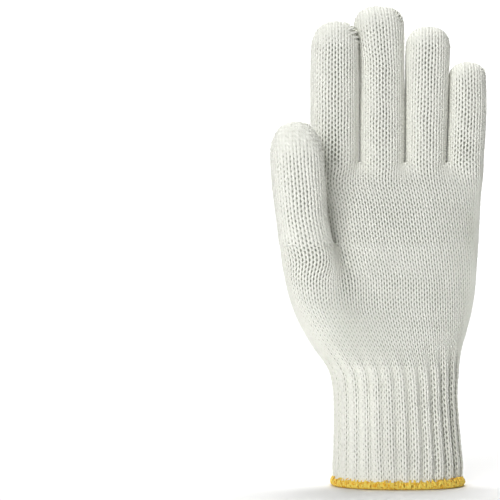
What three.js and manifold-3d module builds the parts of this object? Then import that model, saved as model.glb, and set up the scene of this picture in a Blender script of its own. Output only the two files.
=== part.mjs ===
// A seamless knitted work glove for the left hand, filled out as it is on a hand.
// Millimetres, +Z up towards the fingertips, palm facing -Y, thumb on the -X side.
// The origin is the centre of the opening that the hand goes in through, at the foot of the hem.
// The fingers, the thumb, the hand above and below the thumb's crotch and the cuff are hollow
// knitted tubes, and the hem is the yarn that is overcast round the cuff's edge.
import * as THREE from "three";
import { mergeVertices } from "three/addons/utils/BufferGeometryUtils.js";
import Module from "manifold-3d";

const wasm = await Module();
wasm.setup();

// Driving dimensions
const WALL = 2; // the knitted fabric, two yarns thick
const GAP = 0.35; // clearance between neighbouring pieces
const FINGER_JOIN_Z = 159; // where the finger tubes meet the hand, just above the crotches
const THUMB_JOIN_Z = 119; // where the thumb parts from the palm
const CUFF_TOP_Z = 59.5; // where the hand gathers into the ribbed cuff
const CROWN_RISE = 13; // how far the hand's top rounds over between the finger roots
const CROWN_TAPER = 0.16; // the share of its width that the hand loses on the way
const WEB_BLEND = 15; // how broadly the ball of the thumb flows into the palm
const RIB_COUNT = 28;
const RIB_DEPTH = 1.5; // from the top of a rib to the bottom of the groove
const HEM_HEIGHT = 6;
const HEM_WALL = 0.8; // the overcast yarn on each side of the cuff's edge
const HEM_ROUNDING = 0.7;
const EDGE_THICKNESS = 1.2; // the cuff's edge, pressed thin by the overcasting

// Roundness of the cross-sections: 2 is an ellipse, and more is squarer
const FINGER_ROUNDNESS = 2.15;
const HAND_ROUNDNESS = 2.5;
const CUFF_ROUNDNESS = 2.25;
const CROWN_ROUNDNESS = 2.3; // of the hand's top between the finger roots, seen from the palm

// Cross-sections of the digits' outer faces: height, centre, half width and half depth.
// A finger's first row lies inside the hand, and the thumb's rows go down to the wrist.
// A tip's roundness is that of its dome, seen from the palm.
const DIGITS = {
  index_finger: {
    sides: 20,
    tipZ: 228.9,
    tipRoundness: 2.15,
    sections: [
      { z: 133.5, x: -30.0, y: -0.2, w: 10.0, d: 10.6 },
      { z: 145.5, x: -30.9, y: -0.5, w: 11.9, d: 11.6 },
      { z: 159.5, x: -31.2, y: -0.9, w: 11.9, d: 10.6 },
      { z: 182.5, x: -31.2, y: -2.0, w: 11.9, d: 10.3 },
      { z: 202.5, x: -31.3, y: -3.7, w: 11.9, d: 10.0 },
      { z: 215.5, x: -31.3, y: -5.2, w: 11.7, d: 9.6 },
    ],
  },
  middle_finger: {
    sides: 20,
    tipZ: 237.1,
    tipRoundness: 2.4,
    sections: [
      { z: 133.5, x: -7.8, y: 0.4, w: 9.5, d: 10.8 },
      { z: 145.5, x: -7.8, y: 0.7, w: 11.2, d: 12.0 },
      { z: 159.5, x: -7.7, y: 0.8, w: 11.1, d: 10.8 },
      { z: 187.5, x: -7.7, y: 0.6, w: 11.2, d: 10.4 },
      { z: 211.5, x: -7.9, y: 0.9, w: 11.2, d: 10.1 },
      { z: 224.5, x: -9.1, y: 1.0, w: 12.6, d: 9.8 },
    ],
  },
  ring_finger: {
    sides: 20,
    tipZ: 227.1,
    tipRoundness: 2.3,
    sections: [
      { z: 133.5, x: 13.4, y: 0.4, w: 9.0, d: 10.6 },
      { z: 145.5, x: 13.7, y: 0.8, w: 10.1, d: 11.6 },
      { z: 159.5, x: 13.9, y: 1.4, w: 10.1, d: 10.5 },
      { z: 182.5, x: 14.3, y: 2.2, w: 10.5, d: 10.0 },
      { z: 202.5, x: 14.8, y: 2.2, w: 10.8, d: 9.7 },
      { z: 216, x: 15.1, y: 1.6, w: 11.0, d: 9.3 },
    ],
  },
  little_finger: {
    sides: 18,
    tipZ: 209.9,
    tipRoundness: 2.3,
    sections: [
      { z: 133.5, x: 31.4, y: 0.0, w: 7.6, d: 9.6 },
      { z: 145.5, x: 32.8, y: 0.8, w: 9.0, d: 10.5 },
      { z: 158.5, x: 33.5, y: 2.0, w: 9.1, d: 9.3 },
      { z: 175.5, x: 34.5, y: 3.8, w: 9.5, d: 8.8 },
      { z: 191.5, x: 35.1, y: 4.6, w: 9.5, d: 8.6 },
      { z: 200.5, x: 34.9, y: 4.6, w: 9.4, d: 8.3 },
    ],
  },
  thumb: {
    sides: 22,
    tipZ: 178.3,
    tipRoundness: 2.05,
    sections: [
      { z: 55.5, x: -20.0, y: -2.4, w: 10.5, d: 14.0 },
      { z: 67.5, x: -27.0, y: -4.2, w: 14.2, d: 15.4 },
      { z: 78.5, x: -32.4, y: -7.5, w: 15.4, d: 15.6 },
      { z: 90.5, x: -37.6, y: -11.0, w: 15.4, d: 15.2 },
      { z: 102.5, x: -41.3, y: -14.6, w: 14.8, d: 14.3 },
      { z: 115.5, x: -44.7, y: -18.8, w: 13.6, d: 12.9 },
      { z: 131.5, x: -48.0, y: -23.0, w: 12.3, d: 12.0 },
      { z: 143.5, x: -49.0, y: -25.0, w: 12.9, d: 11.9 },
      { z: 153.5, x: -50.1, y: -26.4, w: 13.1, d: 11.5 },
      { z: 161, x: -50.4, y: -27.2, w: 12.9, d: 11.2 },
    ],
  },
};

// The same columns for the hand without its thumb, up to its crown, and for the cuff
const PALM_SECTIONS = [
  { z: 56.5, x: -2.0, y: -0.5, w: 31.0, d: 20.2 },
  { z: 63.5, x: -2.0, y: -0.5, w: 32.3, d: 19.5 },
  { z: 71.5, x: -2.0, y: -0.6, w: 34.7, d: 18.7 },
  { z: 81.5, x: -1.9, y: -0.7, w: 37.3, d: 17.8 },
  { z: 93.5, x: -1.6, y: -0.6, w: 39.5, d: 16.9 },
  { z: 105.5, x: -1.6, y: -0.5, w: 40.5, d: 16.2 },
  { z: 116.5, x: -1.3, y: -0.3, w: 41.1, d: 15.7 },
  { z: 129.5, x: -1.2, y: -0.1, w: 41.7, d: 14.9 },
  { z: 143.5, x: -0.9, y: 0.1, w: 42.3, d: 13.6 },
];
const CUFF_SECTIONS = [
  { z: 0, x: 0, y: 0, w: 32.0, d: 22.0 },
  { z: 10, x: -0.1, y: -0.1, w: 31.8, d: 21.7 },
  { z: 22, x: -0.3, y: -0.3, w: 31.2, d: 21.1 },
  { z: 34, x: -0.9, y: -0.5, w: 30.6, d: 20.7 },
  { z: 44.5, x: -1.2, y: -0.5, w: 30.3, d: 20.5 },
  { z: 52.5, x: -1.7, y: -0.5, w: 30.6, d: 20.3 },
  { z: 61.5, x: -2.0, y: -0.5, w: 31.8, d: 19.7 },
];

// Materials
const knit = () => new THREE.MeshStandardMaterial({ color: 0xe9eae0, roughness: 0.95, metalness: 0 });
const hemYarn = () => new THREE.MeshStandardMaterial({ color: 0xf0b43c, roughness: 0.9, metalness: 0 });

/** One cross-section, as a closed curve that starts on the +X side. */
class SectionCurve extends THREE.Curve {
  constructor(section, roundness) {
    super();
    this.section = section;
    this.power = 2 / roundness;
  }

  getPoint(t) {
    const { x, y, z, w, d } = this.section;
    const angle = 2 * Math.PI * t;
    const squared = (value) => Math.sign(value) * Math.abs(value) ** this.power;
    return new THREE.Vector3(x + w * squared(Math.cos(angle)), y + d * squared(Math.sin(angle)), z);
  }
}

/** A function of height that gives the section between the rows of a table, as a smooth curve. */
function smoothSections(table) {
  const columns = ["x", "y", "w", "d"];
  const heights = table.map((row) => row.z);
  const values = table.flatMap((row) => columns.map((name) => row[name]));
  const curve = new THREE.CubicInterpolant(heights, values, columns.length);
  return (z) => {
    const [x, y, w, d] = curve.evaluate(z);
    return { z, x, y, w, d };
  };
}

/** The section moved inwards by a wall's thickness. */
function inset(section, by) {
  return { ...section, w: section.w - by, d: section.d - by };
}

/** Evenly spaced points round a section. */
function ring(section, sides, roundness) {
  return new SectionCurve(section, roundness).getSpacedPoints(sides).slice(0, sides);
}

/** A closed solid through rings of points, capped by a fan at each end. */
function loft(rings) {
  const sides = rings[0].length;
  const points = rings.flat();
  const faces = [];
  for (let row = 0; row + 1 < rings.length; row++) {
    for (let i = 0; i < sides; i++) {
      const a = row * sides + i;
      const b = row * sides + ((i + 1) % sides);
      faces.push(a, b, b + sides, a, b + sides, a + sides);
    }
  }
  const centre = (points) => points.reduce((sum, p) => sum.add(p), new THREE.Vector3()).divideScalar(sides);
  const bottom = points.push(centre(rings[0])) - 1;
  const top = points.push(centre(rings[rings.length - 1])) - 1;
  const lastRing = (rings.length - 1) * sides;
  for (let i = 0; i < sides; i++) {
    const next = (i + 1) % sides;
    faces.push(bottom, next, i, top, lastRing + i, lastRing + next);
  }
  const geometry = new THREE.BufferGeometry().setFromPoints(points);
  geometry.setIndex(faces);
  return geometry;
}

/** A three.js geometry as a solid that can be joined and cut. */
function solid(geometry) {
  const bare = geometry.clone();
  for (const name of Object.keys(bare.attributes)) if (name !== "position") bare.deleteAttribute(name);
  const merged = mergeVertices(bare, 1e-4);
  const vertProperties = new Float32Array(merged.attributes.position.array);
  const triVerts = new Uint32Array(merged.index.array);
  return new wasm.Manifold(new wasm.Mesh({ numProp: 3, vertProperties, triVerts }));
}

/** A solid as a named mesh. */
function mesh(name, shape, material) {
  const { vertProperties, triVerts } = shape.getMesh();
  const geometry = new THREE.BufferGeometry();
  geometry.setAttribute("position", new THREE.BufferAttribute(vertProperties, 3));
  geometry.setIndex(new THREE.BufferAttribute(triVerts, 1));
  geometry.computeVertexNormals();
  const made = new THREE.Mesh(geometry, material);
  made.name = name;
  return made;
}

/** The part of a solid between two heights. */
function between(shape, low, high) {
  return shape.trimByPlane([0, 0, 1], low).trimByPlane([0, 0, -1], -high);
}

/** Heights from low to high in equal steps of about the size asked for. */
function steps(low, high, size) {
  const count = Math.max(1, Math.round((high - low) / size));
  return Array.from({ length: count + 1 }, (_, i) => low + ((high - low) * i) / count);
}

/** Rings from a shoulder up to a rounded top. Each keeps some of the shoulder's width and depth. */
function dome({ shoulder, rise, ringCount, widthLoss, roundness, draw }) {
  const power = 2 / roundness;
  return Array.from({ length: ringCount }, (_, i) => {
    const angle = ((Math.PI / 2) * (i + 1)) / (ringCount + 0.35);
    const shrink = Math.cos(angle) ** power;
    const z = shoulder.z + rise * Math.sin(angle) ** power;
    const w = shoulder.w * (1 - widthLoss * (1 - shrink));
    return draw({ ...shoulder, z, w, d: shoulder.d * shrink });
  });
}

/** A digit's solid from a height up to its domed tip, inset by a wall's thickness. */
function digit({ sections, sides, tipZ, tipRoundness }, fromZ, by) {
  const at = smoothSections(sections);
  const draw = (section) => ring(section, by > 0 ? sides - 4 : sides, FINGER_ROUNDNESS);
  const shoulder = inset(at(sections[sections.length - 1].z), by);
  const shaft = steps(fromZ, shoulder.z, 16).map((z) => draw(inset(at(z), by)));
  const rise = tipZ - shoulder.z - by;
  const tip = { shoulder, rise, ringCount: 5, widthLoss: 1, roundness: tipRoundness, draw };
  return solid(loft([...shaft, ...dome(tip)]));
}

/** The solid of the hand from a height up, rounded over between the finger roots. */
function upperPalm(fromZ, sides, by) {
  const at = smoothSections(PALM_SECTIONS);
  const draw = (section) => ring(section, sides, HAND_ROUNDNESS);
  const shoulder = inset(at(PALM_SECTIONS[PALM_SECTIONS.length - 1].z), by);
  const palm = steps(fromZ, shoulder.z, 14).map((z) => draw(inset(at(z), by)));
  const rise = CROWN_RISE - by;
  const crown = { shoulder, rise, ringCount: 4, widthLoss: CROWN_TAPER, roundness: CROWN_ROUNDNESS, draw };
  return solid(loft([...palm, ...dome(crown)]));
}

/** How far a point stands outside a section, measured along the line from the section's centre. */
function distanceOutside(section, roundness, x, y) {
  const dx = x - section.x;
  const dy = y - section.y;
  const across = (Math.abs(dx) / section.w) ** roundness;
  const through = (Math.abs(dy) / section.d) ** roundness;
  const reach = (across + through) ** (1 / roundness);
  return Math.hypot(dx, dy) * (1 - 1 / Math.max(reach, 1e-6));
}

/** The smaller of two distances, rounded off where they are closer together than the blend. */
function smoothSmaller(a, b, blend) {
  const near = Math.max(blend - Math.abs(a - b), 0) / blend;
  return Math.min(a, b) - (near * near * blend) / 4;
}

/** The outline of the palm and the ball of the thumb flowing into one another. */
function blendedRing(palm, thumb, roundness, blend, sides) {
  const RAYS = 180;
  const FARTHEST = 90;
  const x = THREE.MathUtils.lerp(palm.x, thumb.x, 0.6);
  const y = THREE.MathUtils.lerp(palm.y, thumb.y, 0.6);
  const outline = [];
  for (let ray = 0; ray < RAYS; ray++) {
    const angle = (2 * Math.PI * ray) / RAYS;
    const outside = (reach) => {
      const px = x + reach * Math.cos(angle);
      const py = y + reach * Math.sin(angle);
      const fromPalm = distanceOutside(palm, roundness, px, py);
      return smoothSmaller(fromPalm, distanceOutside(thumb, FINGER_ROUNDNESS, px, py), blend) > 0;
    };
    let low = 0;
    let high = FARTHEST;
    for (let halving = 0; halving < 24; halving++) {
      const middle = (low + high) / 2;
      if (outside(middle)) high = middle;
      else low = middle;
    }
    outline.push(new THREE.Vector3(x + low * Math.cos(angle), y + low * Math.sin(angle), palm.z));
  }
  const path = new THREE.CurvePath();
  outline.forEach((point, i) => path.add(new THREE.LineCurve3(point, outline[(i + 1) % RAYS])));
  return path.getSpacedPoints(sides).slice(0, sides);
}

/** A ring of points moved inwards by a wall's thickness. */
function insetRing(points, by) {
  return points.map((point, i) => {
    const before = points[(i + points.length - 1) % points.length];
    const after = points[(i + 1) % points.length];
    const inwards = new THREE.Vector3(before.y - after.y, after.x - before.x, 0).normalize();
    return point.clone().addScaledVector(inwards, by);
  });
}

/** The hand below the thumb's crotch. The blend is narrow at the wrist and where the thumb parts. */
function lowerHand() {
  const SIDES = 48;
  const CREASE = 2;
  const SPREADING = 25; // the height over which the wrist widens into the palm
  const PARTING = 28; // the height over which the crease deepens below the thumb's crotch
  const palmAt = smoothSections(PALM_SECTIONS);
  const thumbAt = smoothSections(DIGITS.thumb.sections);
  const outside = steps(CUFF_TOP_Z + GAP / 2, THUMB_JOIN_Z - GAP / 2, 7).map((z) => {
    const spread = THREE.MathUtils.smoothstep(z, CUFF_TOP_Z, CUFF_TOP_Z + SPREADING);
    const parting = THREE.MathUtils.smoothstep(z, THUMB_JOIN_Z - PARTING, THUMB_JOIN_Z);
    const blend = THREE.MathUtils.lerp(CREASE, WEB_BLEND, spread * (1 - parting));
    const roundness = THREE.MathUtils.lerp(CUFF_ROUNDNESS, HAND_ROUNDNESS, spread);
    return blendedRing(palmAt(z), thumbAt(z), roundness, blend, SIDES);
  });
  const inside = outside.map((points) => insetRing(points, WALL));
  inside[0].forEach((point) => (point.z -= 1));
  inside[inside.length - 1].forEach((point) => (point.z += 1));
  return solid(loft(outside)).subtract(solid(loft(inside)));
}

/** How far the ribs stand out at a height, from 0 to 1. They fade in from the hand and out at the hem. */
function ribStrength(z) {
  const fadeIn = THREE.MathUtils.smoothstep(CUFF_TOP_Z - z, -2, 12);
  const fadeOut = THREE.MathUtils.smoothstep(z, HEM_HEIGHT, HEM_HEIGHT + 8);
  return fadeIn * fadeOut;
}

/** A cuff section whose outline waves in and out with the ribs. */
function ribbedRing(section, pointsPerRib) {
  const points = ring(section, RIB_COUNT * pointsPerRib, CUFF_ROUNDNESS);
  const depth = RIB_DEPTH * ribStrength(section.z);
  return points.map((point, i) => {
    const groove = 0.5 - 0.5 * Math.cos((2 * Math.PI * i) / pointsPerRib);
    const outwards = new THREE.Vector3(point.x - section.x, point.y - section.y, 0).normalize();
    return point.clone().addScaledVector(outwards, -depth * groove);
  });
}

// The cuff's section at a height, kept level below the hem
const cuffSections = smoothSections(CUFF_SECTIONS);
const cuffAt = (z) => ({ ...cuffSections(Math.max(z, 0)), z });
const EDGE_INSET = (WALL - EDGE_THICKNESS) / 2; // how far the pressed edge lies inside the fabric's faces

/** The ribbed cuff, whose edge is pressed thin where the hem wraps it. */
function cuff() {
  const heights = [HEM_HEIGHT - 0.4, HEM_HEIGHT + 1.2, 15, 31, 47];
  const pressed = (z) => (z < HEM_HEIGHT ? EDGE_INSET : 0);
  const outer = [HEM_WALL + GAP, ...heights, CUFF_TOP_Z - GAP / 2];
  const inner = [-1, ...heights, CUFF_TOP_Z + 1];
  const outside = outer.map((z) => ribbedRing(inset(cuffAt(z), pressed(z)), 4));
  const inside = inner.map((z) => ribbedRing(inset(cuffAt(z), WALL - pressed(z)), 2));
  return solid(loft(outside)).subtract(solid(loft(inside)));
}

/** A solid round the cuff's axis through a profile of heights and insets from the cuff's face. */
function turned(profile) {
  const SIDES = 40;
  return solid(loft(profile.map(({ z, by }) => ring(inset(cuffAt(z), by), SIDES, CUFF_ROUNDNESS))));
}

/** The overcast hem: a channel round the cuff's edge. */
function hem() {
  const front = EDGE_INSET - GAP; // the channel's two walls, measured inwards from the cuff's face
  const back = WALL - EDGE_INSET + GAP;
  const outside = turned([
    { z: 0, by: front - HEM_WALL + HEM_ROUNDING },
    { z: 1.2, by: front - HEM_WALL },
    { z: HEM_HEIGHT - 1.5, by: front - HEM_WALL },
    { z: HEM_HEIGHT - 0.7, by: front - 0.3 * HEM_WALL },
  ]);
  const inside = turned([
    { z: -1, by: back + HEM_WALL - HEM_ROUNDING },
    { z: 0, by: back + HEM_WALL - HEM_ROUNDING },
    { z: 1.2, by: back + HEM_WALL },
    { z: HEM_HEIGHT, by: back + HEM_WALL },
  ]);
  const channelFront = turned([
    { z: HEM_WALL, by: front },
    { z: HEM_HEIGHT, by: front },
  ]);
  const channelBack = turned([
    { z: 0, by: back },
    { z: HEM_HEIGHT + 1, by: back },
  ]);
  return outside.subtract(inside).subtract(channelFront.subtract(channelBack));
}

/** The height at which a digit's tube meets the hand. */
function joinZ(name) {
  return name === "thumb" ? THUMB_JOIN_Z : FINGER_JOIN_Z;
}

/** The four fingers and the thumb as hollow tubes, each closed at its tip and open at its root. */
function digits() {
  return Object.entries(DIGITS).map(([name, shape]) => {
    const start = joinZ(name) + GAP / 2;
    const tube = digit(shape, start, 0).subtract(digit(shape, start - 1, WALL));
    return mesh(name, tube, knit());
  });
}

/** The hand above the thumb's crotch, with the roots of the four fingers. */
function upperHand() {
  const start = THUMB_JOIN_Z + GAP / 2;
  const fingers = Object.entries(DIGITS).filter(([name]) => name !== "thumb");
  const filled = (fromZ, sides, by, topZ) => {
    const roots = fingers.map(([, shape]) => {
      const rootZ = shape.sections[0].z;
      return between(digit(shape, rootZ, by), rootZ, topZ);
    });
    return roots.reduce((whole, root) => whole.add(root), upperPalm(fromZ, sides, by));
  };
  const top = FINGER_JOIN_Z - GAP / 2;
  return filled(start, 40, 0, top).subtract(filled(start - 1, 32, WALL, top + 1));
}

const glove = new THREE.Group();
glove.add(...digits());
glove.add(mesh("upper_hand", upperHand(), knit()));
glove.add(mesh("lower_hand", lowerHand(), knit()));
glove.add(mesh("cuff", cuff(), knit()));
glove.add(mesh("hem", hem(), hemYarn()));

export default glove;
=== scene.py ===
"""A seamless string knit work glove for the left hand, knitted stitch by stitch over its solids.

Every tube is real knitting. A course is one yarn that runs round the tube in loops, and each loop
is drawn through the one below it. A flat plating yarn behind the courses closes the holes between
the stitches. The yarn is painted darker on its side that faces into the fabric, painted shade, and
the plating yarn turns that side outwards, so the holes show painted shade. The shape of a tube is
surveyed from the frame's solid, and the yarn is laid just inside that surface. The wales of a tube
run on from those of the tubes above it. Sizes are in millimetres until a mesh is made, and the
frame's own axes are used: +Z up towards the fingertips, the palm facing -Y, the thumb on the -X side.
"""

import logging
import math
from dataclasses import dataclass, field
from enum import Enum

import bpy
import numpy as np
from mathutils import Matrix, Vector
from mathutils.bvhtree import BVHTree


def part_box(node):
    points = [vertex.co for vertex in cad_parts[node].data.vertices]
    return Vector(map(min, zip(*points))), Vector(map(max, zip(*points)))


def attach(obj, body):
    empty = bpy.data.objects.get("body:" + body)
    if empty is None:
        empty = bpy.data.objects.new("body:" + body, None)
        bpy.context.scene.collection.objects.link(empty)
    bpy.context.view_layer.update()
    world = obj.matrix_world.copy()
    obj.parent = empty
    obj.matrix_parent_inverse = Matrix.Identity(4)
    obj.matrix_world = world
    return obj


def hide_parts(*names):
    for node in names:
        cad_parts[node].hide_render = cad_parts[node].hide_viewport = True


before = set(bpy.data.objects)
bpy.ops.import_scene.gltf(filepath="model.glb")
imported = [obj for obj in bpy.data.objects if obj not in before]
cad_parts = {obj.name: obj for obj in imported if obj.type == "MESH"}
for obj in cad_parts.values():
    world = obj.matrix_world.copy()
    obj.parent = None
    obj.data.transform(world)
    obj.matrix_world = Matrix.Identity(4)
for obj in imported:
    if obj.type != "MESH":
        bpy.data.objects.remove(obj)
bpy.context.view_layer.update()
MM = 0.001
BODY = "root"
LOG = logging.getLogger("glove")
Array = np.ndarray


# Surfaces

COLUMNS = 288  # points round a skin
ROW_STEP = 0.8  # the height from one of its rows to the next
SHARES = np.arange(COLUMNS) / COLUMNS
FAN = 48  # rays in each quarter turn round the ends of a section's middle line
RUN = 96  # rays along each side of that line
FALL_START = 8.0  # how far across the hand the palm starts to fall away


def unit(vectors: Array) -> Array:
    """The vectors at a length of 1."""
    return vectors / np.maximum(np.linalg.norm(vectors, axis=-1, keepdims=True), 1e-9)


def ease(part: Array) -> Array:
    """A share from 0 to 1, which starts and stops gently."""
    return part * part * (3 - 2 * part)


def on_line(at: Array, run: Array, points: Array, period: float | None = None) -> Array:
    """The points of a line at lengths along it, or at shares of the way round a closed one."""
    return np.stack([np.interp(at, run, values, period=period) for values in points.T], axis=-1)


def bell(spread: float) -> Array:
    """The weights of a bell curve of some width in points. They add up to 1."""
    weights = np.exp(-0.5 * (np.arange(-int(3 * spread) - 1, int(3 * spread) + 2) / spread) ** 2)
    return weights / weights.sum()


def smooth_round(points: Array, spread: float) -> Array:
    """Smooths a closed run of points, and puts back what the smoothing takes off its bends.

    Args:
        points: The points, with the run along the first axis.
        spread: The bell curve's width in points.

    Returns:
        The smoothed points.
    """
    weights = bell(spread)
    reach = len(weights) // 2

    def blur(run: Array) -> Array:
        """Each point's mean with its neighbours."""
        return sum(weight * np.roll(run, i - reach, axis=0) for i, weight in enumerate(weights))

    blurred = blur(points)
    return blurred + blur(points - blurred)


def smooth_up(grid: Array, spread: float) -> Array:
    """Smooths a grid up its rows, and keeps its first and last row.

    Args:
        grid: The grid, with its rows along the first axis.
        spread: The bell curve's width in rows.

    Returns:
        The smoothed grid.
    """
    weights = bell(spread)
    reach = len(weights) // 2
    below = 2 * grid[0] - grid[reach:0:-1]
    above = 2 * grid[-1] - grid[-2 : -reach - 2 : -1]
    padded = np.concatenate([below, grid, above])
    return sum(weight * padded[i : i + len(grid)] for i, weight in enumerate(weights))


def spaced(outline: Array) -> Array:
    """Points round a closed outline, one for each of a skin's columns.

    They are evenly spaced round the sides and, along the front and the back, across the hand. So
    the columns run straight down past a hollow.

    Args:
        outline: The outline's points as they were surveyed.

    Returns:
        The points.
    """
    closed = np.vstack([outline, outline[:1]])
    step = np.diff(closed, axis=0)
    flat = np.arange(len(outline)) % (len(outline) // 2)
    flat = (flat >= FAN) & (flat < FAN + RUN)
    step = np.where(flat, np.abs(step[:, 0]), np.linalg.norm(step, axis=1))
    length = np.concatenate([[0.0], np.cumsum(step)])
    return on_line(SHARES * length[-1], length, closed)


class Solid:
    """One of the frame's solids, surveyed by rays that come in from outside.

    Args:
        node: The solid's name.
    """

    FAR, NEAR = 120.0, 60.0  # how far off rays start: level ones, and those towards a point
    EDGE = 0.3  # how far inside its ends the solid is surveyed

    def __init__(self, node: str) -> None:
        """Reads the solid's mesh and its ends."""
        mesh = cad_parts[node].data
        points = [vertex.co / MM for vertex in mesh.vertices]
        self.tree = BVHTree.FromPolygons(points, [tuple(face.vertices) for face in mesh.polygons])
        low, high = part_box(node)
        self.low = np.array(low) / MM
        self.high = np.array(high) / MM

    def reach(self, x: float, y: float, z: float, angle: float) -> float:
        """How far the solid reaches from a point in a level direction.

        Args:
            x: The point's place across the hand.
            y: The point's place through the hand.
            z: The point's height.
            angle: The direction, anticlockwise from +X.

        Returns:
            The distance to the outermost surface, or 0 where the ray passes the solid by.
        """
        away = Vector((math.cos(angle), math.sin(angle), 0.0))
        hit = self.tree.ray_cast(Vector((x, y, z)) + away * self.FAR, -away)[3]
        return max(self.FAR - hit, 0.0) if hit is not None else 0.0

    def touch(self, aims: Array, ways: Array) -> tuple[Array, Array]:
        """Where the solid is first met on the way in towards some points.

        Args:
            aims: The points aimed at.
            ways: The ways out from them.

        Returns:
            The places met and the normals there.
        """
        places, normals = aims.copy(), ways.copy()
        for i in np.ndindex(aims.shape[:-1]):
            aim, way = Vector(aims[i]), Vector(ways[i])
            hit, normal = self.tree.ray_cast(aim + way * self.NEAR, -way)[:2]
            if hit is not None:
                places[i], normals[i] = hit, normal
        return places, normals

    def spine(self, z: float) -> tuple[float, float, float]:
        """The middle line of a level section, along which it is about as deep as at its middle.

        Args:
            z: The section's height.

        Returns:
            The left end, the right end and the depth through the hand.
        """
        x, y = (self.low[:2] + self.high[:2]) / 2
        for _ in range(4):
            front, back = self.reach(x, y, z, -math.pi / 2), self.reach(x, y, z, math.pi / 2)
            y += (back - front) / 2
            left, right = self.reach(x, y, z, math.pi), self.reach(x, y, z, 0.0)
            x += (right - left) / 2
        half = max((left + right) / 2 - (front + back) / 2, 0.0)
        return x - half, x + half, y

    def outline(self, z: float) -> Array:
        """A level section's outer outline, anticlockwise from the +X side.

        Args:
            z: The section's height, kept inside the solid.

        Returns:
            Points across and through the hand.
        """
        z = float(np.clip(z, self.low[2] + self.EDGE, self.high[2] - self.EDGE))
        left, right, y = self.spine(z)
        fan = np.linspace(0, math.pi / 2, FAN, endpoint=False)
        run = np.linspace(0, 1, RUN, endpoint=False)
        rays = []
        for near, far, turn in ((right, left, 0.0), (left, right, math.pi)):
            side = turn + math.pi / 2
            rays += [(near, turn + a) for a in fan]
            rays += [(near + (far - near) * s, side) for s in run]
            rays += [(far, side + a) for a in fan]
        points = []
        for x, angle in rays:
            reach = self.reach(x, y, z, angle)
            points.append((x + reach * math.cos(angle), y + reach * math.sin(angle)))
        return np.array(points)


def survey(solids: list[Solid], heights: Array, spread: float) -> Array:
    """A smooth grid of points over solids that stand one on another.

    Args:
        solids: The solids, from the bottom up.
        heights: The heights of the grid's rows.
        spread: How far each section is smoothed, in columns.

    Returns:
        The grid, in rows, columns and coordinates.
    """
    tops = np.array([solid.high[2] for solid in solids[:-1]])
    sections = [solids[int(np.sum(z > tops))].outline(z) for z in heights]
    flat = smooth_up(np.array([smooth_round(spaced(section), spread) for section in sections]), 4)
    level = np.broadcast_to(heights[:, None, None], (*flat.shape[:2], 1))
    return np.concatenate([flat, level], axis=-1)


def soften(grid: Array, most: float, top: float) -> Array:
    """Lets the palm fall away towards the side away from the thumb, as soft fabric does.

    Args:
        grid: A grid of points over the hand.
        most: How far it falls away at that side.
        top: The height above which it doesn't.

    Returns:
        The changed grid.
    """
    x, y, z = np.moveaxis(grid, -1, 0)
    part = np.clip((x - FALL_START) / (x.max(axis=1, keepdims=True) - FALL_START), 0, 1)
    fall = most * part**2
    front = np.clip((y.mean(axis=1, keepdims=True) - y) / 7, 0, 1)
    softened = grid.copy()
    softened[..., 1] += fall * front * np.clip((top - z) / 22, 0, 1)
    return softened


def rows_between(low: float, high: float) -> Array:
    """The heights of a grid's rows, evenly spaced from one height to another."""
    return np.linspace(low, high, max(2, round((high - low) / ROW_STEP)) + 1)


def meet(grid: Array, feet: list[Array], x: float, most: float, tall: float) -> Array:
    """Fits the top of a tube to the tubes above it: their outline, and the crease between them.

    Args:
        grid: The lower tube's grid.
        feet: The lowest rows of the tubes above, first the one on the side away from the thumb.
        x: The crease's place across the hand.
        most: The depth of the crease at the top.
        tall: How far down it fades out.

    Returns:
        The changed grid.
    """
    dented = grid.copy()
    top = grid[-1]
    centre = top[:, 1].mean()
    fade = np.clip(1 - (top[0, 2] - grid[..., 2]) / tall, 0, 1) ** 2
    for side in (-1, 1):
        faces = []
        for foot in feet:
            face = foot[side * (foot[:, 1] - foot[:, 1].mean()) >= 0]
            face = face[np.argsort(face[:, 0])]
            depth = np.interp(top[:, 0], face[:, 0], side * face[:, 1], left=-99, right=-99)
            faces.append(depth)
        gap = np.clip(side * top[:, 1] - np.max(faces, axis=0), 0, most)
        inner = np.clip(2 - np.abs(top[:, 0] - x - 1.5) / 4, 0, 1)
        gap = smooth_round((gap * inner * (side * (top[:, 1] - centre) > 0))[:, None], 1.5)[:, 0]
        dented[..., 1] -= side * fade * gap
    away = feet[0][None, :, :2] - top[:, None, :2]
    nearest = away[np.arange(len(top)), np.linalg.norm(away, axis=-1).argmin(axis=1)]
    held = np.clip((top[:, 0] - 12) / 10, 0, 1)[:, None]
    dented[..., :2] += fade[..., None] * smooth_round(nearest * held, 1.5)
    return dented


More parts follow.
